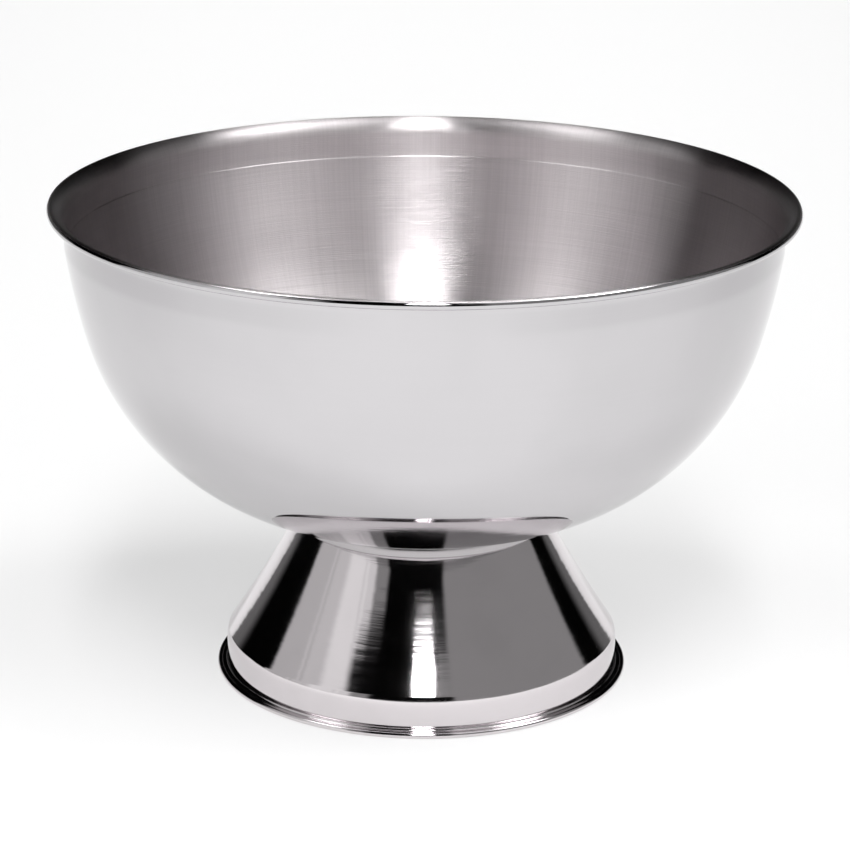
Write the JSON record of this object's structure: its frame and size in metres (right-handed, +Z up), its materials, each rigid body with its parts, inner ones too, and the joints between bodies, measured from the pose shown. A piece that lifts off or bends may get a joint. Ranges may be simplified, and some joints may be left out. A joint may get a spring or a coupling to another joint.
{
  "type": "punch bowl",
  "caption": "Large round metal punch bowl with a rolled rim, standing on a flared pedestal foot clamped by a hidden central stud.",
  "frame": {"origin": "centre of the foot's flat seat, on the table", "axes": "+Z up along the bowl's axis; the object is round, so +X and +Y are any level pair"},
  "size_m": [0.38, 0.38, 0.2497],
  "materials": {
    "bowl": "mirror polished outside, satin brushed inside",
    "foot": "mirror polished",
    "fastener": "plain turned"
  },
  "bodies": {
    "root": {"bowl": "bowl", "neck_collar": "foot", "foot": "foot", "mounting_disc": "fastener", "stud": "fastener", "clamp_washer": "fastener", "lock_washer": "fastener", "nut": "fastener"}
  },
  "joints": []
}
